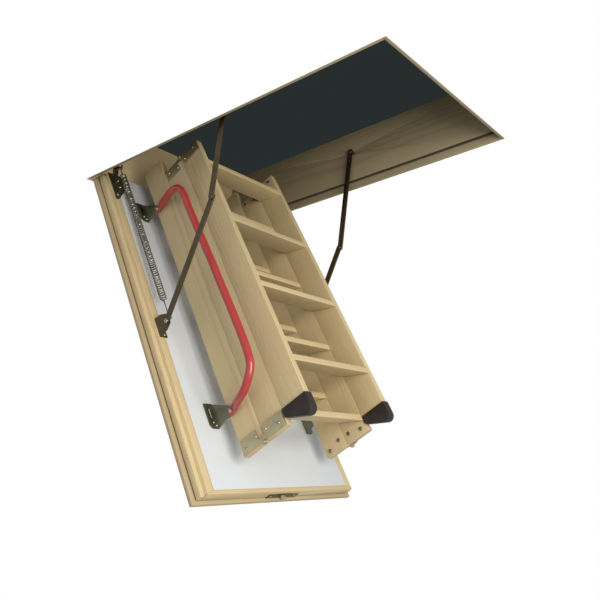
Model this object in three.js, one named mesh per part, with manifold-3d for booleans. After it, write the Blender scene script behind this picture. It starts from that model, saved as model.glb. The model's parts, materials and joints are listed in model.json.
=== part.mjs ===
// Folding attic ladder with a hinged hatch: ceiling box, insulated hatch, three wooden ladder
// sections, stay arms, tension springs, handrail and latch. Shown with the hatch fully open and
// the sections still folded. Millimetres, +Z up, origin at the centre of the outer face of the
// box board that carries the hinges; +X runs from the hinges to the latch end.
import * as THREE from 'three';
import { mergeVertices } from 'three/addons/utils/BufferGeometryUtils.js';
import Module from 'manifold-3d';

const wasm = await Module();
wasm.setup();

// ---------------------------------------------------------------- driving dimensions
const GAP = 0.3; // clearance between pieces that touch or nest

// ceiling box
const BOX_LENGTH = 1192;
const BOX_WIDTH = 688;
const BOX_HEIGHT = 216;
const BOARD = 20; // board thickness
const REBATE_DEPTH = 10; // step that the hatch lip closes into
const REBATE_HEIGHT = 30;

// hatch, in its own axes: s down from the hinge line, n towards the attic side
const HINGE_X = 18; // hinge line, level with the ceiling
const OPEN_ANGLE = THREE.MathUtils.degToRad(64);
const HATCH_START = 6;
const HATCH_END = 1160;
const HATCH_HALF = 331;
const LIP = 10; // thickness of the ceiling-side panel, which is also the lip
const HATCH_THICK = 46;
const TOP_PANEL = 3.5;
const STEPS_SIDE = [13.5, 26, 51]; // rim, shoulder and panel set back from the lip at the sides
const STEPS_END = [9, 15, 20]; // wall, groove and panel set back from the lip at the latch end
const LEDGE_N = 33; // level of the ledge between a stile's rim and its shoulder
const RAIL_INNER_HALF = 265;
const RAIL_DEPTH = 44;

// ladder sections
const STRINGER = 20;
const STRINGER_DEPTH = 84;
const LADDER_HALF = 190; // half the width over the stringers
const SECTION_N = [95, 179.4, 263.8]; // underside of each folded section
const LOWER_END = 1079.7; // lower end of sections one and two
const UPPER_END = 85.3; // upper end of sections two and three
const TOP_END = 16; // upper end of section one
const TREAD_THICK = 18;
const TREAD_PITCH = 251; // along the stringers
const FIRST_TREAD = 148; // front upper edge of the topmost tread
const HOUSING = 8; // how far a tread's dovetail goes into a stringer
const FLARE = 3; // how much the dovetail widens on each face
const FOOT_WALL = 3;
const FOOT_TOP = 1037;
const SOLE = 6; // thickness of rubber under the stringer's end
const SOLE_START = 1062; // where the sole meets the back edge of the stringer
const TOE_RADIUS = 18;
const HEEL_RADIUS = 8;
const TIP_RADIUS = 14; // rounding of the wood inside the toe

// section hinges
const LOWER_AXIS = { s: 1080, n: 179.2 };
const UPPER_AXIS = { s: 85, n: 263.6 };
const LEAF = 3; // steel thickness
const KNUCKLE = 8; // radius of a hinge eye

// stay arms, in side view of the ceiling box
const ARM_TOP = { x: 630, z: 133 };
const ARM_FOOT = { s: 652, n: 90 };
const UPPER_ARM_LENGTH = 357;
const LOWER_ARM_LENGTH = 374.3;
const ARM_WIDTH = 20;
const ARM_STEEL = 4;
const ARM_HOLES = [19, 38]; // adjusting holes in the upper arm, along it from the pivot
const ARM_HOLE_RADIUS = 3;
const UPPER_ARM_Y = 306; // inner face of each flat bar
const LOWER_ARM_Y = 301;

// springs
const SPRING_TOP = { x: 62, y: 250, z: 56 };
const SPRING_FOOT = { s: 636, y: 285, n: 88 };
const SPRING_RADIUS = 11;
const SPRING_ENDS = [34, 66]; // hook length at each end

// handrail
const RAIL_RADIUS = 11.5;
const RAIL_PATH = [ // [s, y, n], from the upper bracket to the lower one
  [186, -206, 107], [190, -209, 125], [203, -222, 185], [216, -234, 222], [236, -239, 248],
  [268, -240, 258], [330, -240, 258], [600, -240, 265], [860, -240, 266], [905, -240, 258],
  [935, -239, 231], [948, -234, 205], [951, -220, 150], [950, -208, 120], [950, -206, 113],
];

// angle brackets that carry section one on the hatch; each tapers to its bolt, which on the left
// also holds an end of the handrail
const BRACKETS = {
  upper: { s0: 113, s1: 193, bolt: { s: 186, n: 107 } },
  lower: { s0: 888, s1: 966, bolt: { s: 950, n: 113 } },
};
const BRACKET_FOOT = 32; // width of the foot on the hatch
const BRACKET_SLOT = { start: 15, length: 30, width: 5, y: 206 };

// latch
const PLATE_HALF = 62;
const BOLT_END = 1161;

// ---------------------------------------------------------------- derived frame values
const down = Math.cos(OPEN_ANGLE);
const drop = Math.sin(OPEN_ANGLE);
const TREAD_LEAN = down / drop; // treads are level when the ladder stands at the open angle
const BOX_HALF = BOX_WIDTH / 2;
const TREAD_ALONG = TREAD_THICK / drop; // tread thickness measured along the stringer
const MITRE = STEPS_SIDE[2] / STEPS_END[2]; // across the hatch for each unit along it

// ---------------------------------------------------------------- materials
const paint = (name, color, roughness, metalness = 0) =>
  new THREE.MeshStandardMaterial({ name, color, roughness, metalness });
const pine = () => paint('pine', 0xd9bf94, 0.6);
const spruce = () => paint('spruce', 0xb59a72, 0.7);
const white = () => paint('white_panel', 0xe2e5e8, 0.45);
const foam = () => paint('foam', 0xe8e4d6, 0.9);
const steel = () => paint('dark_steel', 0x4a4638, 0.45, 0.8);
const zinc = () => paint('zinc', 0x77776a, 0.4, 0.9);
const red = () => paint('red_enamel', 0xb3272b, 0.3);
const rubber = () => paint('rubber', 0x241f1c, 0.8);

// ---------------------------------------------------------------- shape helpers
function box(x0, x1, y0, y1, z0, z1) {
  const geometry = new THREE.BoxGeometry(x1 - x0, y1 - y0, z1 - z0);
  return geometry.translate((x0 + x1) / 2, (y0 + y1) / 2, (z0 + z1) / 2);
}

function outline(points) {
  return new THREE.Shape(points.map(([a, b]) => new THREE.Vector2(a, b)));
}

// an outline in the x-z plane, run from y0 to y1
function prismY(points, y0, y1) {
  const geometry = new THREE.ExtrudeGeometry(outline(points), { depth: y1 - y0, bevelEnabled: false });
  return geometry.rotateX(Math.PI / 2).translate(0, y1, 0);
}

// an outline in the y-z plane, run from x0 to x1
function prismX(points, x0, x1) {
  const geometry = new THREE.ExtrudeGeometry(outline(points), { depth: x1 - x0, bevelEnabled: false });
  const axes = new THREE.Matrix4().makeBasis(
    new THREE.Vector3(0, 1, 0), new THREE.Vector3(0, 0, 1), new THREE.Vector3(1, 0, 0));
  return geometry.applyMatrix4(axes).translate(x0, 0, 0);
}

// an outline in the x-y plane, run from z0 to z1
function prismZ(points, z0, z1) {
  const geometry = new THREE.ExtrudeGeometry(outline(points), { depth: z1 - z0, bevelEnabled: false });
  return geometry.translate(0, 0, z0);
}

function rodY(x, z, radius, y0, y1, sides = 20) {
  return new THREE.CylinderGeometry(radius, radius, Math.abs(y1 - y0), sides)
    .translate(x, (y0 + y1) / 2, z);
}

function rodZ(x, y, radius, z0, z1, sides = 20) {
  return new THREE.CylinderGeometry(radius, radius, z1 - z0, sides)
    .rotateX(Math.PI / 2).translate(x, y, (z0 + z1) / 2);
}

// a round bar between two points
function rodBetween(a, b, radius, sides = 16) {
  const length = a.distanceTo(b);
  const turn = new THREE.Quaternion().setFromUnitVectors(
    new THREE.Vector3(0, 1, 0), b.clone().sub(a).normalize());
  const middle = a.clone().add(b).multiplyScalar(0.5);
  return new THREE.CylinderGeometry(radius, radius, length, sides)
    .applyQuaternion(turn).translate(middle.x, middle.y, middle.z);
}

function solid(geometry) {
  const bare = geometry.clone();
  bare.deleteAttribute('normal');
  bare.deleteAttribute('uv');
  const welded = mergeVertices(bare, 1e-4);
  return new wasm.Manifold(new wasm.Mesh({
    numProp: 3,
    vertProperties: new Float32Array(welded.attributes.position.array),
    triVerts: new Uint32Array(welded.index.array),
  }));
}

function surface(body) {
  const mesh = body.getMesh();
  const geometry = new THREE.BufferGeometry();
  geometry.setAttribute('position', new THREE.BufferAttribute(mesh.vertProperties, 3));
  geometry.setIndex(new THREE.BufferAttribute(mesh.triVerts, 1));
  geometry.computeVertexNormals();
  return geometry;
}

function join(...pieces) {
  return surface(pieces.map(solid).reduce((whole, piece) => whole.add(piece)));
}

function cut(geometry, ...tools) {
  return surface(tools.map(solid).reduce((whole, tool) => whole.subtract(tool), solid(geometry)));
}

function mirrorY(geometry) {
  const flipped = geometry.clone().scale(1, -1, 1);
  const index = flipped.index ? flipped.index.array : null;
  if (index) {
    for (let i = 0; i < index.length; i += 3) [index[i], index[i + 1]] = [index[i + 1], index[i]];
    return flipped;
  }
  return surface(solid(geometry).mirror([0, 1, 0]));
}

// ---------------------------------------------------------------- scene graph
const ladder = new THREE.Group();
ladder.name = 'attic_ladder';
const ceiling = new THREE.Group(); // z = 0 is the ceiling
ceiling.position.z = -BOX_HEIGHT / 2;
const hatch = new THREE.Group(); // x = s, z = n
hatch.position.x = HINGE_X;
hatch.rotation.y = OPEN_ANGLE;
ceiling.add(hatch);
ladder.add(ceiling);

function place(parent, name, geometry, material) {
  const mesh = new THREE.Mesh(geometry, material);
  mesh.name = name;
  parent.add(mesh);
}

// a right-hand piece (+Y) and its mirror image on the left
function placePair(parent, name, geometry, material) {
  place(parent, `${name}_right`, geometry, material());
  place(parent, `${name}_left`, mirrorY(geometry), material());
}

// ---------------------------------------------------------------- ceiling box
function buildBox() {
  const inner = BOX_HALF - BOARD;
  const lower = BOX_HALF - BOARD + REBATE_DEPTH;
  const front = BOX_LENGTH;
  const crossBoard = (face, step) => [
    [face, 0], [face, BOX_HEIGHT], [face + step * BOARD, BOX_HEIGHT],
    [face + step * BOARD, REBATE_HEIGHT], [face + step * (BOARD - REBATE_DEPTH), REBATE_HEIGHT],
    [face + step * (BOARD - REBATE_DEPTH), 0],
  ];
  place(ceiling, 'frame_board_hinge', prismY(crossBoard(0, 1), -BOX_HALF, BOX_HALF), spruce());
  const far = crossBoard(front, -1).reverse();
  place(ceiling, 'frame_board_front', prismY(far, -BOX_HALF, BOX_HALF), spruce());

  const sideOutline = [
    [lower, 0], [BOX_HALF, 0], [BOX_HALF, BOX_HEIGHT],
    [inner, BOX_HEIGHT], [inner, REBATE_HEIGHT - GAP], [lower, REBATE_HEIGHT - GAP],
  ];
  const start = BOARD + GAP;
  const end = front - BOARD - GAP;
  const tongue = BOARD - REBATE_DEPTH;
  const tip = (x0, x1) => box(x0, x1, lower, BOX_HALF, 0, REBATE_HEIGHT - GAP);
  const bolt = rodY(ARM_TOP.x, ARM_TOP.z, 6.4, inner - 1, inner + 12.5);
  const side = join(
    prismX(sideOutline, start, end),
    tip(tongue + GAP, start + 1),
    tip(end - 1, front - tongue - GAP),
  );
  placePair(ceiling, 'frame_board', cut(side, bolt), spruce);
}

// ---------------------------------------------------------------- hatch hinges
function buildHatchHinges() {
  const pin = 3;
  const eye = 5;
  const [y0, y1, y2, y3] = [235, 250, 280, 295];
  const face = BOARD - REBATE_DEPTH + GAP;
  const eyeRod = (a, b) => rodY(HINGE_X, 0, eye, a, b, 24);
  const plate = box(face, HINGE_X - eye - GAP, y0, y3, -2, REBATE_HEIGHT - GAP);
  const shelf = (a, b) => box(face, HINGE_X, a, b, -2.5, 2.5);
  const wall = BOARD + GAP;
  const { x, y, z } = SPRING_TOP;
  const postEnd = y + 5.5;
  const leaf = join(plate, shelf(y0, y1), shelf(y2, y3), eyeRod(y0, y1), eyeRod(y2, y3),
    rodY(HINGE_X, 0, pin, y0 + 1, y3 - 1),
    box(face, wall + LEAF, y0, postEnd, REBATE_HEIGHT - GAP - LEAF, REBATE_HEIGHT - GAP),
    box(wall, wall + LEAF, y0, postEnd, REBATE_HEIGHT - GAP - LEAF, z + 24),
    rodBetween(new THREE.Vector3(wall + 1, y, z), new THREE.Vector3(x, y, z), 3),
    rodBetween(new THREE.Vector3(x, y, z - 3), new THREE.Vector3(x, y, z + 9), 3));
  placePair(ceiling, 'frame_hinge_leaf', leaf, steel);

  const strapFace = 2.6;
  const strapTop = HATCH_THICK + GAP;
  const strap = join(
    box(strapFace, strapFace + LEAF, 258, 272, 0, strapTop + LEAF),
    rodY(0, 0, eye, y1 + GAP, y2 - GAP, 24),
    prismZ([
      [strapFace, 257], [7, 257], [7, 238], [48, 238], [120, 288], [128, 303], [strapFace, 303],
    ], strapTop, strapTop + LEAF),
  );
  placePair(hatch, 'hatch_hinge_strap', cut(strap, rodY(0, 0, pin + 0.4, y1, y2)), steel);
}

// ---------------------------------------------------------------- hatch
function buildHatch() {
  const [rim, shoulder, sidePanel] = STEPS_SIDE;
  const [wall, endGroove, endPanel] = STEPS_END;
  const base = LIP + GAP;
  const groove = LIP + 5;
  const seat = HATCH_THICK - TOP_PANEL - GAP;
  const innerEnd = HATCH_END - RAIL_DEPTH;

  // the part of each outline from its outer top edge round to its inner bottom edge,
  // as [distance in from the lip's edge, n]
  const inward = (panel, depth) => [
    [panel - GAP, HATCH_THICK], [panel - GAP, seat], [depth, seat], [depth, base],
  ];
  const sideOutline = [
    [shoulder, base], [shoulder, groove], [rim, groove], [rim, LEDGE_N], [shoulder, LEDGE_N],
    [shoulder, HATCH_THICK], ...inward(sidePanel, HATCH_HALF - RAIL_INNER_HALF),
  ].map(([d, n]) => [HATCH_HALF - d, n]);
  const endOutline = [
    [endGroove, base], [endGroove, groove], [wall, groove], [wall, HATCH_THICK],
    ...inward(endPanel, RAIL_DEPTH),
  ].map(([d, n]) => [HATCH_END - d, n]);

  // mitre between side and end mouldings, through the lip corner and the panel corner
  const reach = 200;
  const mitre = (shift) => [
    [HATCH_END + shift, HATCH_HALF],
    [HATCH_END + shift - reach / MITRE, HATCH_HALF - reach],
  ];
  const [a, b] = mitre(-GAP / 2);
  const beyond = prismZ([a, b, [HATCH_END + 60, b[1]], [HATCH_END + 60, a[1]]], 0, 60);
  const [c, d] = mitre(GAP / 2);
  const before = prismZ([c, [d[0], c[1]], d], 0, 60);

  const stile = prismX(sideOutline, HATCH_START, HATCH_END - wall);
  placePair(hatch, 'hatch_stile', cut(stile, beyond), pine);
  const caseSlot = box(1116, 1152, -31, 31, 15.5, 30.5);
  const stemSlot = rodZ(1132, 0, 4, 9, 16);
  const blank = prismY(endOutline, -HATCH_HALF, HATCH_HALF);
  const rail = cut(blank, before, mirrorY(before), caseSlot, stemSlot);
  place(hatch, 'hatch_rail_front', rail, pine());
  const inside = RAIL_INNER_HALF - GAP;
  place(hatch, 'hatch_rail_hinge', box(HATCH_START, 50, -inside, inside, base, seat), pine());
  place(hatch, 'hatch_core', box(50 + GAP, innerEnd - GAP, -inside, inside, base, seat), foam());
  const skin = box(HATCH_START, HATCH_END, -HATCH_HALF, HATCH_HALF, 0, LIP);
  place(hatch, 'hatch_panel_lower', cut(skin, rodZ(1132, 0, 4, -1, 12)), white());
  const topHalf = HATCH_HALF - sidePanel;
  place(hatch, 'hatch_panel_upper',
    box(HATCH_START, HATCH_END - endPanel, -topHalf, topHalf, HATCH_THICK - TOP_PANEL, HATCH_THICK), white());
}

// ---------------------------------------------------------------- latch
function buildLatch() {
  const face = HATCH_END - STEPS_END[0] + GAP;
  const shell = join(
    box(face, face + 1.5, -PLATE_HALF, PLATE_HALF, LIP + 1, LIP + 19),
    box(1119, face + 0.5, -30, 30, 16, 30),
  );
  const bore = box(1123, face + 5, -8.4, 8.4, 18, 26);
  place(hatch, 'latch_case', cut(shell, bore), steel());
  const tongue = [
    [1133, 18.4], [BOLT_END, 18.4], [BOLT_END, 19.5], [BOLT_END - 5, 25.6], [1133, 25.6],
  ];
  place(hatch, 'latch_bolt', prismY(tongue, -8, 8), zinc());
  const knob = join(rodZ(1132, 0, 9, -8, -0.5, 24), rodZ(1132, 0, 3.4, -1, 15.2));
  const slot = box(1122, 1142, -1.5, 1.5, -9, -5);
  place(hatch, 'latch_knob', cut(knob, slot), zinc());
  const wall = BOX_LENGTH - BOARD + REBATE_DEPTH - GAP;
  const keeper = join(box(wall - 2, wall, -25, 25, 10.5, 25), box(1175, wall - 1, -14, 14, 11, 13.5));
  place(ceiling, 'latch_keeper', keeper, zinc());
}

// ---------------------------------------------------------------- ladder sections
// the arc of a given radius that rounds the corner of an outline
function rounded(before, corner, after, radius) {
  const [p, q, r] = [before, corner, after].map(([a, b]) => new THREE.Vector2(a, b));
  const u = p.sub(q).normalize();
  const v = r.sub(q).normalize();
  const half = Math.acos(u.dot(v)) / 2;
  const centre = u.clone().add(v).setLength(radius / Math.sin(half)).add(q);
  const touch = [u, v].map((way) => way.setLength(radius / Math.tan(half)).add(q).sub(centre).angle());
  const turn = THREE.MathUtils.euclideanModulo(touch[1] - touch[0] + Math.PI, 2 * Math.PI) - Math.PI;
  return [0, 1, 2, 3, 4, 5].map((i) => {
    const angle = touch[0] + (turn * i) / 5;
    return [centre.x + radius * Math.cos(angle), centre.y + radius * Math.sin(angle)];
  });
}

// A tread between the levels n0 and n1, its near face at s where it meets n1, with a dovetail at
// each end. grow makes it the tool for its own housings.
function treadGeometry(s, n0, n1, grow) {
  const half = LADDER_HALF - STRINGER - GAP;
  const tongue = LADDER_HALF - STRINGER + HOUSING + grow - GAP;
  const [t0, t1] = [-grow, TREAD_ALONG + grow];
  const plan = [
    [t0, -half], [t0 - FLARE, -tongue], [t1 + FLARE, -tongue], [t1, -half],
    [t1, half], [t1 + FLARE, tongue], [t0 - FLARE, tongue], [t0, half],
  ];
  const shear = new THREE.Matrix4().set(1, 0, TREAD_LEAN, s, 0, 1, 0, 0, 0, 0, 1, n1, 0, 0, 0, 1);
  return prismZ(plan, n0 - n1 - grow, grow).applyMatrix4(shear);
}

function buildSection(number, ends, treads) {
  const n0 = SECTION_N[number - 1];
  const n1 = n0 + STRINGER_DEPTH;
  const stringer = prismY(ends(n0, n1), LADDER_HALF - STRINGER, LADDER_HALF);
  const housings = treads.map((s) => treadGeometry(s, n0, n1, GAP));
  placePair(hatch, `section_${number}_stringer`, cut(stringer, ...housings), pine);
  treads.forEach((s, i) => {
    place(hatch, `section_${number}_tread_${i + 1}`, treadGeometry(s, n0, n1, 0), pine());
  });
}

function buildSections() {
  const front = (k) => FIRST_TREAD + TREAD_PITCH * k;
  const square = (s0, s1) => (n0, n1) => [[s0, n0], [s1, n0], [s1, n1], [s0, n1]];
  buildSection(1, square(TOP_END, LOWER_END), [0, 1, 2, 3].map(front));

  // section two lies the other way up: its treads are carried back half a turn about the pivot
  const turnedBack = (k) => 2 * LOWER_AXIS.s - front(k) + STRINGER_DEPTH * TREAD_LEAN - TREAD_ALONG;
  buildSection(2, square(UPPER_END, LOWER_END), [7, 6, 5, 4].map(turnedBack));

  const carried = 2 * (LOWER_AXIS.s - UPPER_AXIS.s);
  const endLine = (n) => SOLE_START - SOLE - GAP + (n - SECTION_N[2]) * TREAD_LEAN;
  const footed = (n0, n1) => [
    [UPPER_END, n0], [endLine(n0), n0],
    ...rounded([endLine(n0), n0], [endLine(n1), n1], [UPPER_END, n1], TIP_RADIUS), [UPPER_END, n1],
  ];
  buildSection(3, footed, [8, 9, 10, 11].map((k) => front(k) - carried));
}

// ---------------------------------------------------------------- feet
function buildFeet() {
  const n0 = SECTION_N[2];
  const n1 = n0 + STRINGER_DEPTH;
  const top = n1 + FOOT_WALL;
  const sole = (n, inset) => SOLE_START - inset + (n - n0) * TREAD_LEAN;
  const [start, heel, toe, end] = [
    [FOOT_TOP, n0], [sole(n0, 0), n0], [sole(top, 0), top], [FOOT_TOP, top],
  ];
  const shell = [
    start, ...rounded(start, heel, toe, HEEL_RADIUS), ...rounded(heel, toe, end, TOE_RADIUS), end,
  ];
  const [low, high] = [n0 - 1, n1 + GAP];
  const [back, tip, top0] = [[sole(low, SOLE), low], [sole(high, SOLE), high], [FOOT_TOP - 1, high]];
  const pocket = [[FOOT_TOP - 1, low], back, ...rounded(back, tip, top0, TIP_RADIUS), top0];
  const outside = LADDER_HALF + FOOT_WALL + GAP;
  const inside = LADDER_HALF - STRINGER - FOOT_WALL - GAP;
  const cup = cut(prismY(shell, inside, outside),
    prismY(pocket, LADDER_HALF - STRINGER - GAP, LADDER_HALF + GAP));
  placePair(hatch, 'foot', cup, rubber);
}

// ---------------------------------------------------------------- section hinges
// way is +1 where the stringers end above the pivot and -1 where they begin below it
function buildSectionHinge(name, axis, way, nearNumber, farNumber) {
  const inner = LADDER_HALF + GAP;
  const middle = inner + LEAF + GAP;
  const outer = middle + LEAF;
  const s = (back) => axis.s - way * back;
  const span = (a, b) => [Math.min(s(a), s(b)), Math.max(s(a), s(b))];
  const plate = (back0, back1, n0, n1, y0, y1) => {
    const [s0, s1] = span(back0, back1);
    return box(s0, s1, y0, y1, n0, n1);
  };
  const pin = 3.5;
  const near = join(
    plate(1, 44, axis.n - 76, axis.n - 17, inner, inner + LEAF),
    plate(0, 16, axis.n - 20, axis.n, inner, inner + LEAF),
    rodY(axis.s, axis.n, KNUCKLE, inner, inner + LEAF),
    rodY(axis.s, axis.n, pin, inner + 1, outer + 2),
    rodY(axis.s, axis.n, pin + 2.5, outer + GAP, outer + 2.5),
  );
  placePair(hatch, `${name}_hinge_leaf_${nearNumber}`, near, zinc);
  const far = join(
    plate(1, 40, axis.n + 12, axis.n + 82, inner, outer),
    plate(-2, 18, axis.n, axis.n + 20, middle, outer),
    rodY(axis.s, axis.n, KNUCKLE, middle, outer),
  );
  const bored = cut(far, rodY(axis.s, axis.n, pin + 0.4, middle - 1, outer + 1));
  placePair(hatch, `${name}_hinge_leaf_${farNumber}`, bored, zinc);
}

// ---------------------------------------------------------------- ladder brackets and handrail
function buildBracket(name, { s0, s1, bolt }) {
  const face = LADDER_HALF + GAP;
  const reach = face + BRACKET_FOOT;
  const floor = HATCH_THICK + GAP;
  const corners = [[s0, face], [s1, face], [s1, reach], [s0, reach]];
  const foot = prismZ([
    corners[0], corners[1],
    ...rounded(corners[1], corners[2], corners[3], 14),
    ...rounded(corners[2], corners[3], corners[0], 5),
  ], floor, floor + LEAF);
  const upright = prismY([
    [s0, floor], [s1, floor], [s1 - 9, floor + 32], [bolt.s + 10, bolt.n], [bolt.s + 5, bolt.n + 11],
    [bolt.s - 9, bolt.n + 11],
  ], face, face + LEAF);
  const slot = BRACKET_SLOT;
  const window = box(s0 + slot.start, s0 + slot.start + slot.length,
    slot.y - slot.width / 2, slot.y + slot.width / 2, floor - 1, floor + LEAF + 1);
  placePair(hatch, `ladder_bracket_${name}`, cut(join(foot, upright), window), zinc);
}

function buildHandrail() {
  const points = RAIL_PATH.map((point) => new THREE.Vector3(...point));
  const path = new THREE.CatmullRomCurve3(points, false, 'centripetal');
  const ring = new THREE.Shape().absarc(0, 0, RAIL_RADIUS, 0, 2 * Math.PI);
  const tube = new THREE.ExtrudeGeometry(ring, { extrudePath: path, steps: 46, curveSegments: 7 });
  const seat = LADDER_HALF + 2 * GAP + LEAF;
  const pads = Object.values(BRACKETS).map(({ bolt }) =>
    box(bolt.s - 10, bolt.s + 10, -seat - 8, -seat, bolt.n - 11, bolt.n + 11));
  place(hatch, 'handrail', join(tube, ...pads), red());
}

// ---------------------------------------------------------------- stay arms
// where the two arms meet, on the side away from the hinges
function elbowPoint() {
  const foot = {
    x: HINGE_X + ARM_FOOT.s * down + ARM_FOOT.n * drop,
    z: -ARM_FOOT.s * drop + ARM_FOOT.n * down,
  };
  const [dx, dz] = [foot.x - ARM_TOP.x, foot.z - ARM_TOP.z];
  const span = Math.hypot(dx, dz);
  const along = (UPPER_ARM_LENGTH ** 2 - LOWER_ARM_LENGTH ** 2 + span ** 2) / (2 * span);
  const off = Math.sqrt(UPPER_ARM_LENGTH ** 2 - along ** 2);
  return {
    x: ARM_TOP.x + (dx * along - dz * off) / span,
    z: ARM_TOP.z + (dz * along + dx * off) / span,
    foot,
  };
}

// a flat bar with round ends from (x0, z0) to (x1, z1)
function flatBar(x0, z0, x1, z1, y0, y1) {
  const reach = Math.atan2(z1 - z0, x1 - x0);
  const r = ARM_WIDTH / 2;
  const shape = new THREE.Shape();
  shape.absarc(x0, z0, r, reach + Math.PI / 2, reach + 1.5 * Math.PI, false);
  shape.absarc(x1, z1, r, reach - Math.PI / 2, reach + Math.PI / 2, false);
  const bar = new THREE.ExtrudeGeometry(shape, { depth: y1 - y0, bevelEnabled: false, curveSegments: 8 });
  return bar.rotateX(Math.PI / 2).translate(0, y1, 0);
}

function buildArms() {
  const elbow = elbowPoint();
  const eye = 4.3;
  const upperOuter = UPPER_ARM_Y + ARM_STEEL;
  const upper = join(
    flatBar(ARM_TOP.x, ARM_TOP.z, elbow.x, elbow.z, UPPER_ARM_Y, upperOuter),
    rodY(ARM_TOP.x, ARM_TOP.z, 6, UPPER_ARM_Y + 1, BOX_HALF - BOARD + 12),
  );
  const holes = ARM_HOLES.map((distance) => {
    const share = distance / UPPER_ARM_LENGTH;
    const x = ARM_TOP.x + (elbow.x - ARM_TOP.x) * share;
    const z = ARM_TOP.z + (elbow.z - ARM_TOP.z) * share;
    return rodY(x, z, ARM_HOLE_RADIUS, UPPER_ARM_Y - 1, upperOuter + 1, 12);
  });
  const rivetHole = rodY(elbow.x, elbow.z, eye, UPPER_ARM_Y - 1, upperOuter + 1);
  placePair(ceiling, 'upper_arm', cut(upper, rivetHole, ...holes), steel);

  const { foot } = elbow;
  const outer = LOWER_ARM_Y + ARM_STEEL;
  const lower = flatBar(elbow.x, elbow.z, foot.x, foot.z, LOWER_ARM_Y, outer);
  const eyes = [elbow, foot].map((at) => rodY(at.x, at.z, eye, LOWER_ARM_Y - 1, outer + 1));
  placePair(ceiling, 'lower_arm', cut(lower, ...eyes), steel);

  const base = HATCH_THICK + GAP;
  const { s, n } = ARM_FOOT;
  const wall = LOWER_ARM_Y - GAP;
  const upright = [
    [s - 40, base], [s + 24, base], [s + 22, n - 12], [s + 10, n + 8], [s - 6, n + 10],
    [s - 24, n + 4], [s - 36, n - 18],
  ];
  const bracket = join(
    prismY(upright, wall - LEAF, wall),
    box(s - 40, s + 24, wall - 26, wall, base, base + LEAF),
    rodY(s, n, 4, wall - 1, outer + 0.5),
    rodBetween(new THREE.Vector3(SPRING_FOOT.s, wall - 1, SPRING_FOOT.n),
      new THREE.Vector3(SPRING_FOOT.s, SPRING_FOOT.y - 6, SPRING_FOOT.n), 3),
  );
  placePair(hatch, 'arm_bracket', bracket, steel);
}

// ---------------------------------------------------------------- springs
function buildSprings() {
  const local = (x, z) => ({ s: (x - HINGE_X) * down - z * drop, n: (x - HINGE_X) * drop + z * down });
  const top = local(SPRING_TOP.x, SPRING_TOP.z);
  const a = new THREE.Vector3(top.s, SPRING_TOP.y, top.n);
  const b = new THREE.Vector3(SPRING_FOOT.s, SPRING_FOOT.y, SPRING_FOOT.n);
  const way = b.clone().sub(a).normalize();
  const from = a.clone().addScaledVector(way, SPRING_ENDS[0]);
  const to = b.clone().addScaledVector(way, -SPRING_ENDS[1]);
  placePair(hatch, 'spring', rodBetween(from, to, SPRING_RADIUS, 12), steel);
}

buildBox();
buildHatchHinges();
buildHatch();
buildLatch();
buildSections();
buildFeet();
buildSectionHinge('lower', LOWER_AXIS, 1, 1, 2);
buildSectionHinge('upper', UPPER_AXIS, -1, 2, 3);
buildBracket('upper', BRACKETS.upper);
buildBracket('lower', BRACKETS.lower);
buildHandrail();
buildArms();
buildSprings();

export default ladder;
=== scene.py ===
"""Attic ladder: looks, screws, spring coils, seal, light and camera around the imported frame."""

import json
import math

import bmesh
import bpy
from mathutils import Matrix, Vector


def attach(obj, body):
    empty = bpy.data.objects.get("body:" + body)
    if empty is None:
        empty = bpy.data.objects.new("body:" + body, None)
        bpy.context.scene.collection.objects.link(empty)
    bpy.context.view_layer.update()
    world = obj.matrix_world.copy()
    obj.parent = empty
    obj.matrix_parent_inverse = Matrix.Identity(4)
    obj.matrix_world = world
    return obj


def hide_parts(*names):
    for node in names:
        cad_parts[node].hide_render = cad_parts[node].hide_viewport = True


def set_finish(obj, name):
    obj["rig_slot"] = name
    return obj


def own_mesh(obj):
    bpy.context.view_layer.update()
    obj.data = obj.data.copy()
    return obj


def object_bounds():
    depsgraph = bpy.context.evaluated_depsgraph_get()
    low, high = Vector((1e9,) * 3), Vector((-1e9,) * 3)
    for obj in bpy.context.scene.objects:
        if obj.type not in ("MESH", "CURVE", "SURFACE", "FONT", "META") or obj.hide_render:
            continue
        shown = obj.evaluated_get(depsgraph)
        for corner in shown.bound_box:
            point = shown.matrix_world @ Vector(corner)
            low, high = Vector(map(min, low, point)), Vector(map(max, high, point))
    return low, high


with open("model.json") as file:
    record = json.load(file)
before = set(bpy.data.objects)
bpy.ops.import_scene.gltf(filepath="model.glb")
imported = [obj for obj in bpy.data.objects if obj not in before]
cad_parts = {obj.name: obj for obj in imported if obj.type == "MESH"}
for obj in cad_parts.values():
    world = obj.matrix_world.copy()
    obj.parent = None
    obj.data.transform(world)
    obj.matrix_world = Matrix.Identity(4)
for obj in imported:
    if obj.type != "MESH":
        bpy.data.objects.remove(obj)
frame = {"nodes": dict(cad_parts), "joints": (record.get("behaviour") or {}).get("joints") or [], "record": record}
cad_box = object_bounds()

MM = 0.001
JOINTS = {j["name"]: j for j in frame["joints"]}
HINGE = Vector(JOINTS["hatch_hinge"]["pos_m"])
DOWN = Vector(JOINTS["latch_bolt_slide"]["axis"]).normalized()  # along the hatch, away from its hinges
OUT = Vector(JOINTS["latch_knob_turn"]["axis"]).normalized()  # square to the hatch, towards the ladder
ACROSS = Vector((0, 1, 0))
UP = Vector((0, 0, 1))
ALONG_BOX = Vector((1, 0, 0))
CEILING = HINGE.z
BODIES = frame["record"]["behaviour"]["bodies"]
BODY_OF = {node: body for body, nodes in BODIES.items() for node in nodes}
SIDES = (("right", 1), ("left", -1))

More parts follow.
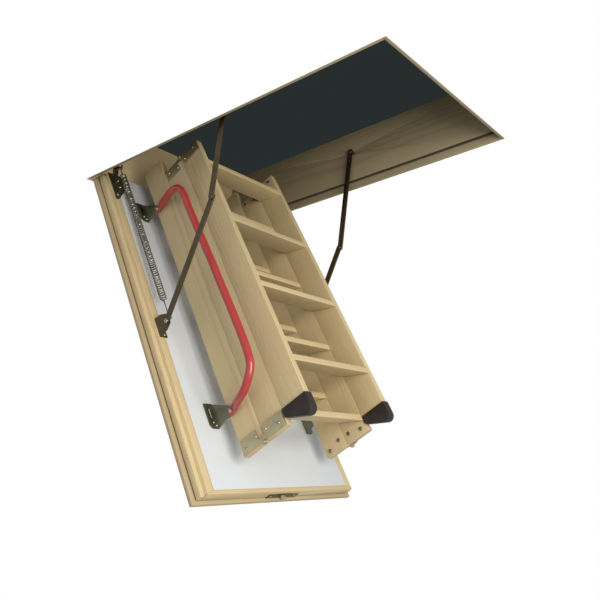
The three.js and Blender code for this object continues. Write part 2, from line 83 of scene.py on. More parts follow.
# places in the hatch's millimetres (s, n) and the box's (x, z), as the solids have them
PANEL_N = 46.0  # top of the white sheet
PLATE = 3.3  # sheet steel with its clearance
STRINGER_Y = 190.0  # outer face of a stringer, from the middle
STRINGER = 20.0  # its thickness
BRACKETS = (
    # s where the foot starts, then s and n of the bolt
    (113.0, 186.0, 107.0),
    (888.0, 950.0, 113.0),
)
SECTION_HINGES = (
    # s and n of the pivot, way the stringers lie, bodies of its two leaves
    (1080.0, 179.2, -1, "hatch", "section_2"),
    (85.0, 263.6, 1, "section_2", "section_3"),
)
RAIL_RADIUS = 11.5
RAIL_END = (3.6, 13.5)  # half thickness and half width of its flattened ends
RAIL_END_RUN = 16.0  # how far an end stays flat
RAIL_FADE = 34.0  # over how far it turns round
SPRING_FOOT = (636.0, 285.0, 88.0)  # s, y and n
SPRING_TOP = (55.0, 250.0, 56.0)  # x, y and z
COIL_RADIUS = 9.3
WIRE_RADIUS = 1.7
COIL_PITCH = 8.8
COIL_ENDS = (34.0, 66.0)  # straight wire above and below the coil
COIL_STEPS = 14  # points for each turn
HOOK_RADIUS = 6.2
STAY_BARS = (0.357, 0.3743)  # upper and lower bar between their pivots, in metres
STAY_RIVET_Y = (0.306, 0.310, 0.301)  # at the top, and outside and inside the elbow, in metres

# heads: radius, height, and whether there is a cross recess
PAN = (4.2, 2.2, True)
DOME = (6.2, 2.8, False)
BRACKET_BOLT = (6.0, 3.4, False)
ARM_BOLT = (7.0, 3.0, False)
LATCH_SCREW = (3.2, 1.2, True)
BOX_SCREW = (4.0, 0.25, True)
STAY_TOP = (7.0, 3.2, False)
STAY_ELBOW = (6.5, 2.8, False)

# where heads sit: s and y on the hatch, but on a bracket's foot s from its start
BRACKET_SCREWS = ((59, 205), (68, 198))
STRAP_SCREWS = ((30, 270), (62, 272), (104, 292))
ARM_BRACKET_SCREWS = ((620, 284), (668, 284))
ARM_BOLT_AT = (652, 305.5, 90)  # s, y and n
LATCH_SCREW_AT = (1152.8, 50, 20)
# steps along the stringer and away from the hatch, from a section hinge's pivot
NEAR_LEAF_SCREWS = ((16, -65), (28, -23))
FAR_LEAF_SCREWS = ((26, 18), (16, 63))
RAIL_PACKING = 8.3  # how much further out the handrail's end puts its bolt
BOX_SCREW_Y = 334
BOX_SCREW_HEIGHTS = (46, 108, 176)

SEAL_LEVEL = 25.8  # its middle, above the ceiling
SEAL_RADIUS = 3.6
SEAL_X = (15.0, 1177.0)
SEAL_Y = 329.5
ROOM_HEIGHT = 2.75  # floor to ceiling, in metres


def at(s, y, n):
    """A point in the hatch's own millimetres: s down from the hinge line, n towards the ladder."""
    return HINGE + DOWN * (s * MM) + OUT * (n * MM) + ACROSS * (y * MM)


def box_at(x, y, z):
    """A point in the ceiling box's millimetres, with z = 0 at the ceiling."""
    return Vector((x * MM, y * MM, CEILING + z * MM))


# ---------------------------------------------------------------- materials
class Look:
    """One node material, built a node at a time."""

    def __init__(self, name):
        self.material = bpy.data.materials.new(name)
        self.material.use_nodes = True
        self.tree = self.material.node_tree
        self.shader = self.tree.nodes["Principled BSDF"]

    def add(self, kind, inputs=None, **settings):
        node = self.tree.nodes.new(kind)
        for key, value in settings.items():
            setattr(node, key, value)
        for key, value in (inputs or {}).items():
            self.set(node.inputs[key], value)
        return node

    def set(self, socket, value):
        if isinstance(value, bpy.types.NodeSocket):
            self.tree.links.new(value, socket)
        else:
            socket.default_value = value

    def math(self, operation, a, b=0.0):
        return self.add("ShaderNodeMath", {0: a, 1: b}, operation=operation).outputs[0]

    def vector(self, operation, a, b):
        node = self.add("ShaderNodeVectorMath", {0: a, 1: b}, operation=operation)
        return node.outputs["Value" if operation == "DOT_PRODUCT" else "Vector"]

    def noise(self, vector, scale, detail=2.0, roughness=0.5):
        inputs = {"Vector": vector, "Scale": scale, "Detail": detail, "Roughness": roughness}
        return self.add("ShaderNodeTexNoise", inputs).outputs["Fac"]

    def remap(self, value, low, high, to_low, to_high):
        inputs = {"Value": value, "From Min": low, "From Max": high, "To Min": to_low, "To Max": to_high}
        return self.add("ShaderNodeMapRange", inputs).outputs["Result"]

    def mix(self, share, a, b, blend="MIX"):
        node = self.add("ShaderNodeMix", data_type="RGBA", blend_type=blend)
        self.set(node.inputs["Factor"], share)
        self.set(node.inputs["A"], a)
        self.set(node.inputs["B"], b)
        return node.outputs["Result"]

    def bump(self, height, distance, strength, under=None):
        node = self.add("ShaderNodeBump", {"Height": height, "Distance": distance, "Strength": strength})
        if under is not None:
            self.set(node.inputs["Normal"], under)
        return node.outputs["Normal"]

    def finish(self, **inputs):
        for key, value in inputs.items():
            self.set(self.shader.inputs[key.replace("_", " ")], value)
        return self.material

    def object_coordinates(self):
        return self.add("ShaderNodeTexCoord").outputs["Object"]


def colour(r, g, b):
    return (r, g, b, 1.0)


def scaled(tint, share):
    return colour(*(share * c for c in tint[:3]))


def wood(name, along, across, seed, light, dark, ring, knots=False):
    """Planed softwood with its grain along one direction: growth rings ring millimetres apart,
    fibres, pores and tone. seed places it in its own part of the log."""
    look = Look(name)
    place = look.object_coordinates()
    third = along.cross(across)
    parts = [look.vector("DOT_PRODUCT", place, tuple(v)) for v in (along, across, third)]
    shift = (seed * 1.731 % 7.0, (seed * 0.0473) % 0.31, (seed * 0.0291) % 0.27)
    moved = [look.math("ADD", p, d) for p, d in zip(parts, shift)]
    local = look.add("ShaderNodeCombineXYZ", dict(enumerate(moved))).outputs[0]

    slow = look.vector("MULTIPLY", local, (1.1, 9.0, 9.0))
    sway = look.remap(look.noise(slow, 1.0, 2.0), 0.25, 0.75, -0.020, 0.020)
    heart_a = 0.09 + 0.05 * math.sin(seed * 2.1)
    heart_b = 0.05 + 0.03 * math.cos(seed * 1.3)
    a = look.math("ADD", look.math("SUBTRACT", moved[1], heart_a), sway)
    b = look.math("SUBTRACT", moved[2], heart_b)
    squares = look.math("ADD", look.math("MULTIPLY", a, a), look.math("MULTIPLY", b, b))
    radius = look.math("SQRT", squares)
    if knots:
        cell = look.vector("MULTIPLY", local, (1.7, 5.0, 5.0))
        spot = look.add("ShaderNodeTexVoronoi", {"Vector": cell, "Scale": 1.0, "Randomness": 0.9})
        near = look.remap(spot.outputs["Distance"], 0.03, 0.30, 1.0, 0.0)
        near = look.math("POWER", near, 2.0)
        radius = look.math("ADD", radius, look.math("MULTIPLY", near, 0.012))
    phase = look.math("MULTIPLY", radius, 2 * math.pi / (ring * MM))
    wave = look.remap(look.math("SINE", phase), -1.0, 1.0, 0.0, 1.0)
    late = look.math("POWER", wave, 3.0)
    fibre = look.noise(look.vector("MULTIPLY", local, (9.0, 520.0, 520.0)), 1.0, 3.0, 0.65)
    pits = look.noise(look.vector("MULTIPLY", local, (42.0, 1500.0, 1500.0)), 1.0, 2.0)
    pores = look.remap(pits, 0.56, 0.72, 0.0, 1.0)
    tone = look.noise(look.vector("MULTIPLY", local, (1.3, 6.0, 6.0)), 1.0, 3.0)

    base = look.mix(look.math("MULTIPLY", late, 0.42), light, dark)
    streak = look.remap(fibre, 0.3, 0.7, 0.90, 1.07)
    streaks = look.add("ShaderNodeCombineColor", {0: streak, 1: streak, 2: streak}).outputs[0]
    base = look.mix(1.0, base, streaks, "MULTIPLY")
    cast = look.remap(tone, 0.3, 0.7, 0.0, 0.34)
    base = look.mix(cast, base, scaled(dark, 0.86))
    base = look.mix(look.math("MULTIPLY", pores, 0.16), base, scaled(dark, 0.45))
    if knots:
        core = look.remap(spot.outputs["Distance"], 0.025, 0.055, 0.85, 0.0)
        base = look.mix(core, base, colour(0.13, 0.065, 0.03))
    grain = look.bump(fibre, 0.00018, 0.55)
    relief = look.bump(late, 0.00022, 0.45, grain)
    rough = look.remap(fibre, 0.3, 0.7, 0.50, 0.66)
    return look.finish(Base_Color=base, Roughness=rough, Normal=relief)


def metal(name, base, patch, rough):
    """Plated steel: mottled plating, a fine uneven surface and a slightly uneven gloss."""
    look = Look(name)
    place = look.object_coordinates()
    mottle = look.remap(look.noise(place, 85.0, 4.0, 0.6), 0.32, 0.68, 0.0, 1.0)
    cloud = look.remap(look.noise(place, 14.0, 2.0), 0.35, 0.65, 0.0, 1.0)
    fine = look.noise(look.vector("MULTIPLY", place, (60.0, 60.0, 60.0)), 6.0, 3.0, 0.6)
    tint = look.mix(mottle, base, patch)
    worn = look.mix(look.math("MULTIPLY", cloud, 0.35), tint, scaled(base, 1.5))
    gloss = look.remap(fine, 0.3, 0.7, rough - 0.07, rough + 0.09)
    relief = look.bump(fine, 0.00008, 0.5)
    return look.finish(Base_Color=worn, Metallic=0.92, Roughness=gloss, Normal=relief)


def coated(name, base, rough, coat, ripple=0.00005, smudge=0.92):
    """A coating sprayed or rolled on: faint ripple, small changes of tone and gloss."""
    look = Look(name)
    place = look.object_coordinates()
    ripples = look.noise(place, 230.0, 2.0)
    cloud = look.remap(look.noise(place, 7.0, 4.0, 0.6), 0.3, 0.7, 0.0, 1.0)
    tint = look.mix(cloud, scaled(base, smudge), base)
    gloss = look.remap(look.noise(place, 22.0, 4.0, 0.65), 0.3, 0.7, rough - 0.05, rough + 0.07)
    return look.finish(Base_Color=tint, Roughness=gloss, Coat_Weight=coat, Coat_Roughness=0.12,
                       Normal=look.bump(ripples, ripple, 0.6))


def moulded(name, base, rough, grain=900.0):
    """Moulded rubber or foam with a fine skin texture and a dusty bloom."""
    look = Look(name)
    place = look.object_coordinates()
    skin = look.noise(place, grain, 3.0, 0.6)
    bloom = look.remap(look.noise(place, 38.0, 4.0, 0.6), 0.45, 0.8, 0.0, 0.5)
    tint = look.mix(bloom, base, colour(*(2.2 * c + 0.01 for c in base[:3])))
    gloss = look.remap(skin, 0.3, 0.7, rough - 0.08, rough + 0.1)
    return look.finish(Base_Color=tint, Roughness=gloss, Normal=look.bump(skin, 0.0002, 0.5))


PINE_LIGHT = colour(0.64, 0.515, 0.29)
PINE_DARK = colour(0.47, 0.345, 0.175)
# painted shade: the right, left and front boards get the same pine painted darker, for the shade inside the box;
# only the hinge board keeps the lit pine
SHADED_PINE_LIGHT = colour(0.335, 0.275, 0.165)
SHADED_PINE_DARK = colour(0.225, 0.175, 0.10)
STEEL = metal("bronze_steel", colour(0.10, 0.08, 0.05), colour(0.145, 0.115, 0.07), 0.36)
ZINC = metal("zinc_steel", colour(0.52, 0.475, 0.315), colour(0.40, 0.36, 0.23), 0.42)
WIRE = metal("spring_wire", colour(0.25, 0.245, 0.20), colour(0.15, 0.145, 0.115), 0.30)
HINGE_PLATE = metal("hinge_bronze", colour(0.22, 0.185, 0.11), colour(0.15, 0.125, 0.07), 0.36)
BRACKET = metal("bracket_zinc", colour(0.20, 0.20, 0.145), colour(0.13, 0.13, 0.09), 0.36)
SCREW = metal("screw_zinc", colour(0.50, 0.49, 0.41), colour(0.36, 0.34, 0.26), 0.28)
RED = coated("red_enamel", colour(0.42, 0.036, 0.036), 0.30, 0.5)
WHITE = coated("white_lacquer", colour(0.60, 0.63, 0.655), 0.38, 0.15, 0.00003, 0.965)
EDGE = coated("lip_edge", colour(0.46, 0.36, 0.21), 0.6, 0.0, 0.00008, 0.90)
RUBBER = moulded("foot_rubber", colour(0.016, 0.011, 0.009), 0.52)
SEAL = moulded("seal_foam", colour(0.035, 0.027, 0.021), 0.85, 500.0)
FOAM = moulded("insulation", colour(0.70, 0.68, 0.58), 0.9, 260.0)


# ---------------------------------------------------------------- pieces
def new_piece(name, mesh, body, material, slot=None):
    piece = bpy.data.objects.new(name, mesh)
    bpy.context.scene.collection.objects.link(piece)
    mesh.materials.clear()
    mesh.materials.append(material)
    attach(piece, body)
    if slot:
        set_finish(piece, slot)
    return piece


def smooth_by_angle(mesh, degrees):
    mesh.shade_smooth()
    mesh.set_sharp_from_angle(angle=math.radians(degrees))


def eased(node, material, width, segments=2):
    """A copy of a CAD node with its hard edges eased, standing for that node."""
    hard = math.radians(25.0)
    source = frame["nodes"][node]
    shape = bmesh.new()
    shape.from_mesh(source.data)
    bmesh.ops.remove_doubles(shape, verts=shape.verts, dist=2e-6)
    bmesh.ops.dissolve_limit(shape, angle_limit=math.radians(1.0), verts=shape.verts,
                             edges=shape.edges, delimit={"NORMAL"})
    sharp = [e for e in shape.edges if len(e.link_faces) == 2 and e.calc_face_angle(0.0) > hard]
    bmesh.ops.bevel(shape, geom=sharp, offset=width * MM, segments=segments, profile=0.5,
                    affect="EDGES", clamp_overlap=True, miter_outer="ARC")
    mesh = bpy.data.meshes.new(node + "_eased")
    shape.to_mesh(mesh)
    shape.free()
    smooth_by_angle(mesh, 40.0)
    piece = new_piece(node + "_eased", mesh, BODY_OF[node], material, source.get("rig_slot"))
    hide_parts(node)
    return piece


def dress(node, material):
    data = frame["nodes"][node].data
    data.materials.clear()
    data.materials.append(material)


# ---------------------------------------------------------------- wood and panels
def dress_box():
    pine, shaded = (PINE_LIGHT, PINE_DARK), (SHADED_PINE_LIGHT, SHADED_PINE_DARK)
    # painted shade: every board but the hinge board takes the darkened pine tones
    boards = (("right", ALONG_BOX, shaded), ("left", ALONG_BOX, shaded),
              ("hinge", ACROSS, pine), ("front", ACROSS, shaded))
    for i, (place, along, tones) in enumerate(boards):
        node = f"frame_board_{place}"
        board = wood(node + "_spruce", along, UP, 3.0 + 4.1 * i, *tones, 6.5, knots=True)
        eased(node, board, 0.8)


def dress_hatch():
    for i, (side, _) in enumerate(SIDES):
        stile = wood(f"hatch_stile_{side}_pine", DOWN, ACROSS, 21.0 + i, PINE_LIGHT, PINE_DARK, 4.2)
        eased(f"hatch_stile_{side}", stile, 0.9)
    for i, end in enumerate(("front", "hinge")):
        rail = wood(f"hatch_rail_{end}_pine", ACROSS, OUT, 25.0 + i, PINE_LIGHT, PINE_DARK, 4.2)
        eased(f"hatch_rail_{end}", rail, 0.9)
    eased("hatch_panel_upper", WHITE, 0.4)
    lip = eased("hatch_panel_lower", WHITE, 1.0)
    lip.data.materials.append(EDGE)
    facing_down = -0.7  # the face below stays white, and the lip's edges are wood
    for face in lip.data.polygons:
        if face.normal.dot(OUT) > facing_down:
            face.material_index = 1
    dress("hatch_core", FOAM)


def dress_sections():
    for number in (1, 2, 3):
        for i, (side, _) in enumerate(SIDES):
            node = f"section_{number}_stringer_{side}"
            seed = 5.0 * number + 2.3 * i
            look = wood(node + "_pine", DOWN, OUT, seed, PINE_LIGHT, PINE_DARK, 5.2)
            eased(node, look, 1.6, 3)
        for k in range(1, 5):
            node = f"section_{number}_tread_{k}"
            seed = 31.0 + 4.0 * number + 1.37 * k
            look = wood(node + "_pine", ACROSS, OUT, seed, PINE_LIGHT, PINE_DARK, 4.8)
            eased(node, look, 1.6, 3)


def dress_metal():
    for node in frame["nodes"]:
        if node.startswith(("arm_bracket", "upper_arm", "lower_arm")):
            eased(node, STEEL, 0.5)
        elif node.startswith(("frame_hinge_leaf", "hatch_hinge_strap")):
            eased(node, HINGE_PLATE, 0.5)
        elif node.startswith("ladder_bracket"):
            eased(node, BRACKET, 0.5)
        elif "hinge_leaf" in node or node.startswith(("latch_k", "latch_b")):
            eased(node, ZINC, 0.5)
    eased("latch_case", STEEL, 0.3)


def dress_feet():
    for side, _ in SIDES:
        eased(f"foot_{side}", RUBBER, 1.4, 3)


# ---------------------------------------------------------------- handrail and springs
def sweep(points, sections, sides, guide=None):
    """A closed tube along points. sections gives each point's two half-widths in millimetres, the
    first of them along guide where there is one."""
    shape = bmesh.new()
    rings = []
    normal = guide or Vector((0.31, 0.87, 0.38))
    for i, point in enumerate(points):
        ahead = points[min(i + 1, len(points) - 1)] - points[max(i - 1, 0)]
        ahead.normalize()
        start = guide or normal
        normal = (start - ahead * start.dot(ahead)).normalized()
        other = ahead.cross(normal)
        a, b = sections[i]
        turns = [2 * math.pi * k / sides for k in range(sides)]
        spokes = [normal * (a * math.cos(t)) + other * (b * math.sin(t)) for t in turns]
        rings.append([shape.verts.new(point + spoke * MM) for spoke in spokes])
    for near, far in zip(rings, rings[1:]):
        for k in range(sides):
            j = (k + 1) % sides
            shape.faces.new((near[k], near[j], far[j], far[k]))
    shape.faces.new(list(reversed(rings[0])))
    shape.faces.new(rings[-1])
    bmesh.ops.recalc_face_normals(shape, faces=shape.faces)
    mesh = bpy.data.meshes.new("sweep")
    shape.to_mesh(mesh)
    shape.free()
    smooth_by_angle(mesh, 50.0)
    return mesh


def through(points, step):
    """A smooth curve through points, with a point about every step metres."""
    ends = [points[0] * 2 - points[1]] + points + [points[-1] * 2 - points[-2]]
    curve = []
    for p0, p1, p2, p3 in zip(ends, ends[1:], ends[2:], ends[3:]):
        knots = [0.0]
        for a, b in ((p0, p1), (p1, p2), (p2, p3)):
            knots.append(knots[-1] + math.sqrt((b - a).length))
        t0, t1, t2, t3 = knots
        count = max(1, round((p2 - p1).length / step))
        for k in range(count):
            t = t1 + (t2 - t1) * k / count
            a1 = p0 * ((t1 - t) / (t1 - t0)) + p1 * ((t - t0) / (t1 - t0))
            a2 = p1 * ((t2 - t) / (t2 - t1)) + p2 * ((t - t1) / (t2 - t1))
            a3 = p2 * ((t3 - t) / (t3 - t2)) + p3 * ((t - t2) / (t3 - t2))
            b1 = a1 * ((t2 - t) / (t2 - t0)) + a2 * ((t - t0) / (t2 - t0))
            b2 = a2 * ((t3 - t) / (t3 - t1)) + a3 * ((t - t1) / (t3 - t1))
            curve.append(b1 * ((t2 - t) / (t2 - t1)) + b2 * ((t - t1) / (t2 - t1)))
    return curve + [points[-1]]


def build_handrail():
    flat_y = -(STRINGER_Y + 2 * PLATE + 1.0)  # middle of the flattened ends, outside the brackets
    route = [
        (184, flat_y, 98), (186, flat_y, 110), (192, -207, 138), (203, -222, 185), (216, -234, 222),
        (236, -239, 248), (268, -240, 258), (330, -240, 258), (600, -240, 265), (860, -240, 266),
        (905, -240, 258), (935, -239, 231), (948, -234, 205), (951, -218, 160), (950, -206, 138),
        (950, flat_y, 116), (950, flat_y, 104),
    ]
    points = through([at(*place) for place in route], step=0.008)
    flat, wide = RAIL_END
    travelled = [0.0]
    for a, b in zip(points, points[1:]):
        travelled.append(travelled[-1] + (b - a).length / MM)
    sections = []
    for distance in travelled:
        inward = min(distance, travelled[-1] - distance)
        share = min(1.0, max(0.0, (inward - RAIL_END_RUN) / RAIL_FADE))
        share = share * share * (3 - 2 * share)
        sections.append((flat + (RAIL_RADIUS - flat) * share, wide + (RAIL_RADIUS - wide) * share))
    piece = new_piece("handrail_tube", sweep(points, sections, 20, ACROSS), "hatch", RED, "red_enamel")
    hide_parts("handrail")


def hook(centre, toward, sideways):
    """An open ring of wire round centre that runs out along toward."""
    turns = [math.radians(d) for d in range(50, 361, 20)]
    spokes = [toward * math.cos(t) + sideways * math.sin(t) for t in turns]
    return [centre + spoke * (HOOK_RADIUS * MM) for spoke in spokes]


def coil(top, foot):
    """The wire's middle line: top hook, coil and foot hook."""
    way = (foot - top).normalized()
    u = (ACROSS - way * ACROSS.dot(way)).normalized()
    v = way.cross(u)
    length = (foot - top).length / MM - sum(COIL_ENDS)
    turns = length / COIL_PITCH
    start = top + way * (COIL_ENDS[0] * MM)
    steps = int(turns * COIL_STEPS)
    helix = []
    for k in range(steps + 1):
        angle = 2 * math.pi * turns * k / steps
        run = min(1.0, k / COIL_STEPS, (steps - k) / COIL_STEPS)
        radius = COIL_RADIUS * math.sin(run * math.pi / 2) * MM
        spoke = u * math.cos(angle) + v * math.sin(angle)
        helix.append(start + way * (length * k / steps * MM) + spoke * radius)
    return hook(top, way, u) + helix + list(reversed(hook(foot, -way, v)))


def build_springs():
    for side, hand in SIDES:
        x, y, z = SPRING_TOP
        top = box_at(x, hand * y, z)
        s, foot_y, n = SPRING_FOOT
        foot = at(s, hand * foot_y, n)
        points = coil(top, foot)
        mesh = sweep(points, [(WIRE_RADIUS, WIRE_RADIUS)] * len(points), 6)
        piece = new_piece(f"spring_coil_{side}", mesh, "hatch", WIRE, "spring_steel")
        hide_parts(f"spring_{side}")
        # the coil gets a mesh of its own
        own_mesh(piece)


# ---------------------------------------------------------------- screws, rivets and seal
def head(shape, place, normal, radius, height, cross):
    """A pan head on a surface, with a cross recess where cross is true. Its foot is a little
    below the surface."""
    sunk = 0.3
    side = normal.orthogonal().normalized()
    other = normal.cross(side)
    arm, slim = 0.52 * radius, 0.15 * radius
    corners = [(arm, -slim), (arm, slim), (slim, slim)]
    plus = []
    for c, d in ((1, 0), (0, 1), (-1, 0), (0, -1)):
        plus += [(a * c - b * d, a * d + b * c) for a, b in corners]

    def ring(outline, level):
        return [shape.verts.new(place + (side * a + other * b + normal * level) * MM) for a, b in outline]

    def circle(r):
        return [(r * a / math.hypot(a, b), r * b / math.hypot(a, b)) for a, b in plus]

    rings = [ring(circle(radius), -sunk), ring(circle(radius), 0.25 * height),
             ring(circle(0.88 * radius), 0.7 * height), ring(circle(0.62 * radius), height)]
    if cross:
        rings += [ring(plus, height), ring([(0.9 * a, 0.9 * b) for a, b in plus], 0.35 * height)]
    for near, far in zip(rings, rings[1:]):
        for k in range(len(plus)):
            j = (k + 1) % len(plus)
            shape.faces.new((near[k], near[j], far[j], far[k]))
    shape.faces.new(list(reversed(rings[0])))
    shape.faces.new(rings[-1])


def fasteners(name, body, spots, material=SCREW):
    """Heads that ride on one body, as one piece. A spot is place, normal, radius, height, cross."""
    shape = bmesh.new()
    for spot in spots:
        head(shape, *spot)
    bmesh.ops.recalc_face_normals(shape, faces=shape.faces)
    mesh = bpy.data.meshes.new(name)
    shape.to_mesh(mesh)
    shape.free()
    smooth_by_angle(mesh, 35.0)
    new_piece(name, mesh, body, material, "zinc_steel")


def elbow_point():
    """Where the two stay bars meet, from their pivots and lengths, in metres in the plane y = 0."""
    upper, lower = STAY_BARS
    top = Vector(JOINTS["upper_arm_left_pivot"]["pos_m"])
    foot = Vector(JOINTS["lower_arm_left_pivot"]["pos_m"])
    span = foot - top
    span.y = 0.0
    reach = span.length
    along = (upper ** 2 - lower ** 2 + reach ** 2) / (2 * reach)
    off = math.sqrt(upper ** 2 - along ** 2)
    way = span / reach
    elbow = top + way * along + Vector((-way.z, 0.0, way.x)) * off
    elbow.y = 0.0
    return elbow


def build_fasteners():
    spots = {"frame": [], "hatch": [], "section_2": [], "section_3": []}
    rivets = {"hatch": [], "section_2": [], "section_3": []}
    elbow = elbow_point()
    arm_top = Vector(JOINTS["upper_arm_left_pivot"]["pos_m"])
    top_y, elbow_out, elbow_in = STAY_RIVET_Y
    foot_n = PANEL_N + PLATE
    outer, inner = STRINGER_Y + PLATE, STRINGER_Y - STRINGER
    for side, hand in SIDES:
        outward = ACROSS * hand
        bolt_y = outer + (RAIL_PACKING if side == "left" else 0.0)
        for start, bolt_s, bolt_n in BRACKETS:
            spots["hatch"] += [(at(start + s, hand * y, foot_n), OUT, *PAN) for s, y in BRACKET_SCREWS]
            spots["hatch"].append((at(bolt_s, hand * bolt_y, bolt_n), outward, *BRACKET_BOLT))
        for s, y in STRAP_SCREWS + ARM_BRACKET_SCREWS:
            spots["hatch"].append((at(s, hand * y, foot_n), OUT, *PAN))
        s, y, n = ARM_BOLT_AT
        spots["hatch"].append((at(s, hand * y, n), outward, *ARM_BOLT))
        s, y, n = LATCH_SCREW_AT
        spots["hatch"].append((at(s, hand * y, n), DOWN, *LATCH_SCREW))
        for s, n, way, near, far in SECTION_HINGES:
            for leaf, y, places in ((near, outer, NEAR_LEAF_SCREWS), (far, outer + PLATE, FAR_LEAF_SCREWS)):
                for back, rise in places:
                    spots[leaf].append((at(s + way * back, hand * y, n + rise), outward, *PAN))
                    rivets[leaf].append((at(s + way * back, hand * inner, n + rise), -outward, *DOME))
        for x, facing in ((cad_box[0].x, -ALONG_BOX), (cad_box[1].x, ALONG_BOX)):
            for z in BOX_SCREW_HEIGHTS:
                place = Vector((x, hand * BOX_SCREW_Y * MM, CEILING + z * MM))
                spots["frame"].append((place, facing, *BOX_SCREW))
        pivots = [
            (Vector((arm_top.x, hand * top_y, arm_top.z)), -outward, *STAY_TOP),
            (Vector((elbow.x, hand * elbow_out, elbow.z)), outward, *STAY_ELBOW),
            (Vector((elbow.x, hand * elbow_in, elbow.z)), -outward, *STAY_ELBOW),
        ]
        fasteners(f"stay_rivets_{side}", f"upper_arm_{side}", pivots, STEEL)
    for body, places in spots.items():
        fasteners(f"{body}_screws", body, places)
    for body, places in rivets.items():
        fasteners(f"{body}_rivets", body, places, HINGE_PLATE)


def build_seal():
    """The foam strip under the step of the rebate, left out at the hinge leaves and the keeper."""
    x0, x1 = SEAL_X
    short, leaves, keeper, corner = 8.0, 230.0, 32.0, 325.0  # where the runs stop
    runs = [((x0 + short, hand * SEAL_Y), (x1 - short, hand * SEAL_Y)) for hand in (1, -1)]
    runs.append(((x0, -leaves), (x0, leaves)))
    runs += [((x1, hand * keeper), (x1, hand * corner)) for hand in (1, -1)]
    steps = 24
    whole = bmesh.new()
    for a, b in runs:
        start, end = box_at(*a, SEAL_LEVEL), box_at(*b, SEAL_LEVEL)
        points = [start.lerp(end, k / steps) for k in range(steps + 1)]
        strip = sweep(points, [(SEAL_RADIUS, SEAL_RADIUS)] * len(points), 10, UP)
        whole.from_mesh(strip)
    mesh = bpy.data.meshes.new("seal")
    whole.to_mesh(mesh)
    whole.free()
    smooth_by_angle(mesh, 50.0)
    new_piece("seal_strip", mesh, "frame", SEAL, "foot_rubber")


# ---------------------------------------------------------------- light, floor and camera
def area_light(name, place, aim, size, power, tint=(1, 1, 1)):
    data = bpy.data.lights.new(name, "AREA")
    data.shape = "RECTANGLE"
    data.size, data.size_y = size
    data.energy = power
    data.color = tint
    lamp = bpy.data.objects.new(name, data)
    lamp.location = place
    lamp.rotation_euler = (Vector(aim) - Vector(place)).to_track_quat("-Z", "Y").to_euler()
    bpy.context.scene.collection.objects.link(lamp)


def glow(name, seen, given):
    """A plain backdrop surface: one brightness as seen, another as it lights the object. It is
    clear from behind."""
    look = Look(name)
    path = look.add("ShaderNodeLightPath").outputs["Is Camera Ray"]
    tint = look.mix(path, given, seen)
    shine = look.add("ShaderNodeEmission", {"Color": tint, "Strength": 1.0}).outputs[0]
    behind = look.add("ShaderNodeNewGeometry").outputs["Backfacing"]
    clear = look.add("ShaderNodeBsdfTransparent").outputs[0]
    surface = look.add("ShaderNodeMixShader", {0: behind, 1: shine, 2: clear}).outputs[0]
    look.set(look.tree.nodes["Material Output"].inputs["Surface"], surface)
    return look.material


def sheet_below(name, outer, inner, z, material):
    """A level sheet that faces down, with a rectangular hole if inner is given."""
    shape = bmesh.new()

    def ring(x0, x1, y0, y1):
        return [shape.verts.new((x, y, z)) for x, y in ((x0, y0), (x0, y1), (x1, y1), (x1, y0))]

    rim = ring(*outer)
    if inner is None:
        shape.faces.new(rim)
    else:
        hole = ring(*inner)
        for i in range(4):
            j = (i + 1) % 4
            shape.faces.new((rim[i], rim[j], hole[j], hole[i]))
    mesh = bpy.data.meshes.new(name)
    shape.to_mesh(mesh)
    shape.free()
    mesh.materials.append(material)
    item = bpy.data.objects.new(name, mesh)
    bpy.context.scene.collection.objects.link(item)


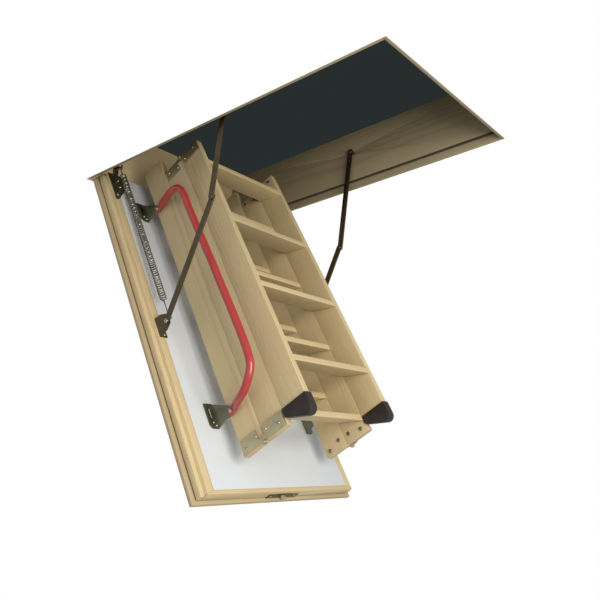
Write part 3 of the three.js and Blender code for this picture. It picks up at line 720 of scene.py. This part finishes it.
def build_stage():
    low, high = cad_box
    white = colour(1.0, 1.0, 1.0)
    soft = colour(0.47, 0.47, 0.47)
    ceiling = glow("ceiling_white", white, soft)
    border = 0.42  # of ceiling round the box
    inner = (low.x, high.x, low.y, high.y)
    outer = (low.x - border, high.x + border, low.y - border, high.y + border)
    sheet_below("ceiling", outer, inner, CEILING, ceiling)
    # painted shade: a near-black sheet over the box's open top stands for the unlit attic; it is seen dark from
    # below and also blocks the light from above
    dark = glow("attic_painted_shade", colour(0.020, 0.027, 0.026), colour(0.010, 0.012, 0.012))
    tuck = 0.016  # the attic sheet stops over the boards, so that their top edges stay in the light
    lift = 0.002  # and lies just above them
    opening = (low.x + tuck, high.x - tuck, low.y + tuck, high.y - tuck)
    sheet_below("attic", opening, None, high.z + lift, dark)

    pale = Look("floor_pale")
    speck = pale.remap(pale.noise(pale.object_coordinates(), 3.0, 4.0), 0.3, 0.7, 0.0, 1.0)
    tint = pale.mix(speck, colour(0.80, 0.80, 0.79), colour(0.84, 0.84, 0.83))
    pale.finish(Base_Color=tint, Roughness=0.7)
    bpy.ops.mesh.primitive_plane_add(size=5.0, location=(0.6, 0.0, CEILING - ROOM_HEIGHT))
    floor = bpy.context.object
    floor.name = "floor"
    floor.data.materials.append(pale.material)

    world = bpy.data.worlds.new("studio")
    bpy.context.scene.world = world
    world.use_nodes = True
    tree = world.node_tree
    path = tree.nodes.new("ShaderNodeLightPath")
    mix = tree.nodes.new("ShaderNodeMix")
    mix.data_type = "RGBA"
    mix.inputs["A"].default_value = soft
    mix.inputs["B"].default_value = white
    tree.links.new(path.outputs["Is Camera Ray"], mix.inputs["Factor"])
    tree.links.new(mix.outputs["Result"], tree.nodes["Background"].inputs["Color"])

    area_light("key", (3.0, -0.9, -0.75), (0.4, 0.0, -0.5), (1.6, 1.6), 68.0, (1.0, 0.97, 0.92))
    area_light("side", (0.6, -3.0, -1.2), (0.5, 0.0, -0.5), (1.8, 1.4), 4.0)
    bpy.context.scene.view_settings.view_transform = "Standard"


def build_camera():
    place = Vector((1.901, -1.574, CEILING - 1.017))
    yaw, pitch, roll = 0.933, 0.331, -0.044
    level = math.cos(pitch)
    ahead = Vector((-math.cos(yaw) * level, math.sin(yaw) * level, math.sin(pitch)))
    side = ahead.cross(UP).normalized()
    top = side.cross(ahead)
    right = side * math.cos(roll) + top * math.sin(roll)
    upward = right.cross(ahead)
    data = bpy.data.cameras.new("camera")
    data.sensor_width = 36.0
    data.lens = 41.898
    data.shift_x, data.shift_y = -0.045, -1 / 12
    data.clip_start = 0.01
    camera = bpy.data.objects.new("camera", data)
    turn = Matrix((right, upward, -ahead)).transposed().to_4x4()
    camera.matrix_world = Matrix.Translation(place) @ turn
    bpy.context.scene.collection.objects.link(camera)
    bpy.context.scene.camera = camera


dress_box()
dress_hatch()
dress_sections()
dress_metal()
dress_feet()
build_handrail()
build_springs()
build_fasteners()
build_seal()
build_stage()
build_camera()
